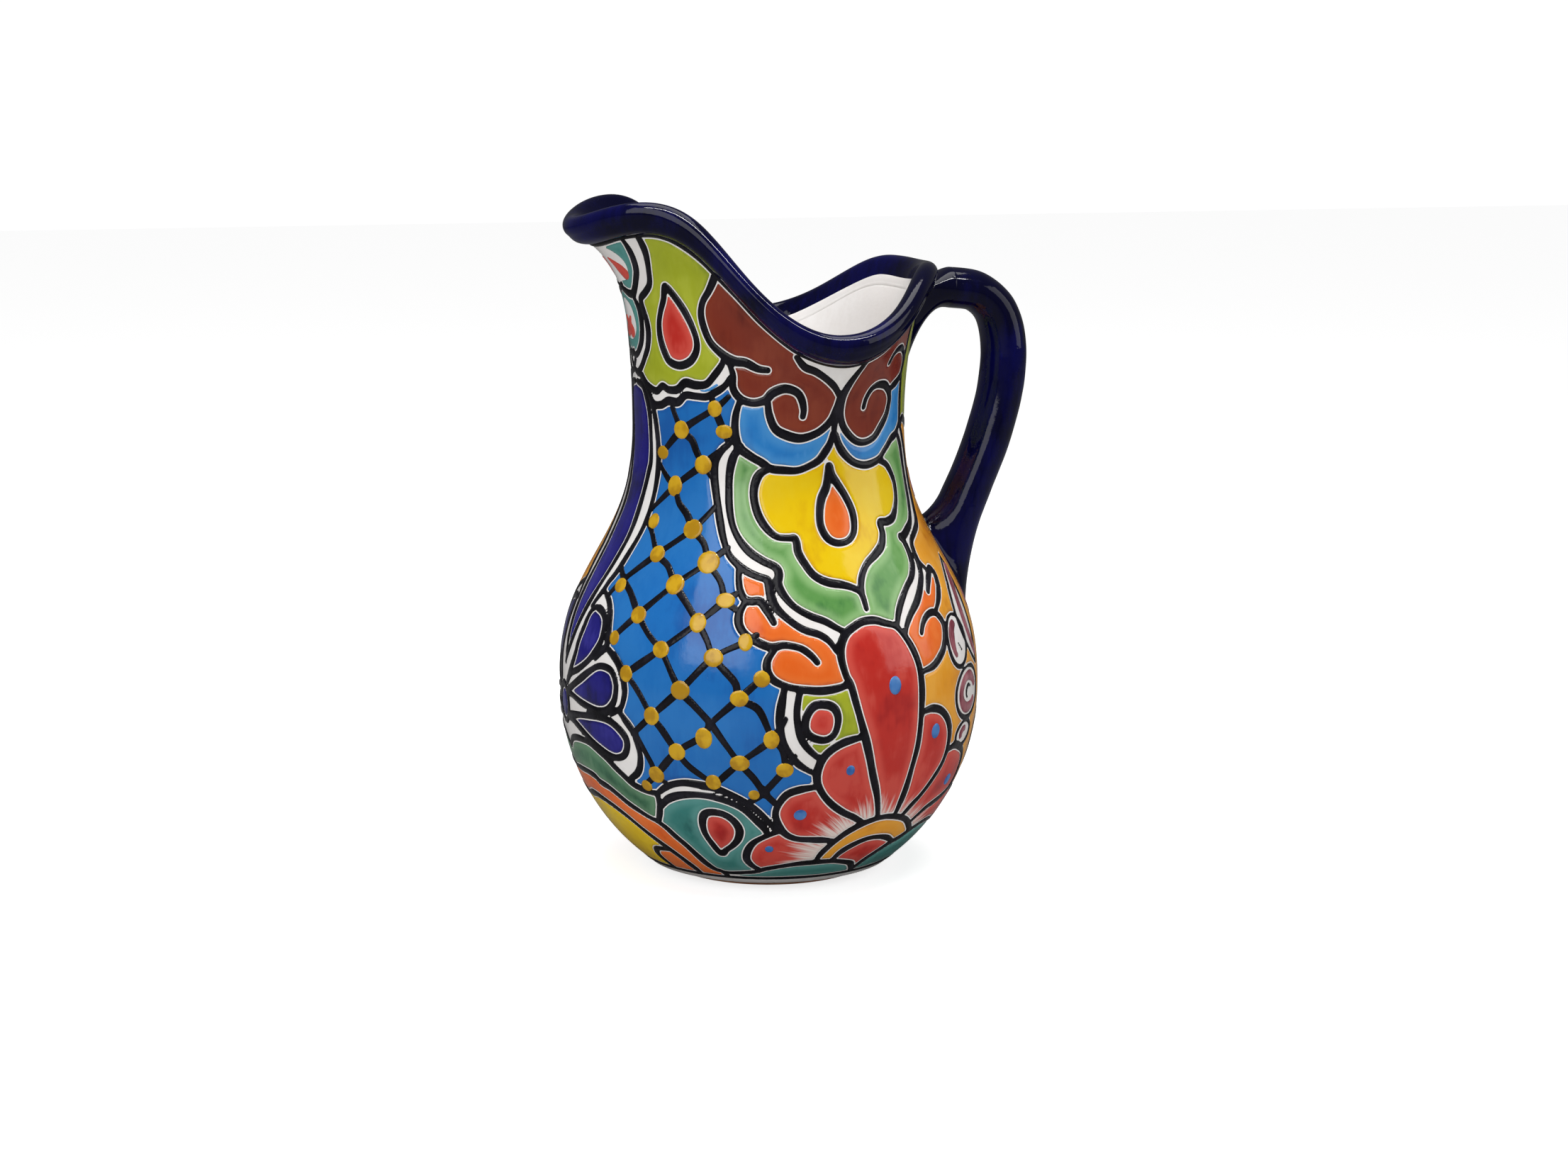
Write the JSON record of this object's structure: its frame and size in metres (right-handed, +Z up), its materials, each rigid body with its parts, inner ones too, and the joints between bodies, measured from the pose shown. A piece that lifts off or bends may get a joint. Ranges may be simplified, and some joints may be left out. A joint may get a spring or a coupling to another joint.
{
  "type": "pitcher",
  "caption": "Round-bellied glazed earthenware pitcher with a curled pouring spout, rolled lip and strap handle, painted in raised-outline floral panels.",
  "frame": {"origin": "under the middle of the whole box, at the plane that the foot ring stands on; the axis of the thrown belly is at X = -0.0109", "axes": "+Z up; -X towards the pouring spout, +X towards the handle; the pitcher is symmetric about the plane Y = 0"},
  "size_m": [0.1777, 0.156, 0.2474],
  "materials": {
    "white_glaze": "glossy tin-white glaze with painted panels",
    "cobalt_glaze": "very glossy dark cobalt glaze",
    "bare_clay": "bare fired clay, matt"
  },
  "bodies": {
    "root": {"body": "white_glaze", "foot_ring": "bare_clay", "rim_band": "cobalt_glaze", "handle": "cobalt_glaze", "handle_top_joint": "cobalt_glaze", "handle_bottom_joint": "cobalt_glaze"}
  },
  "joints": []
}
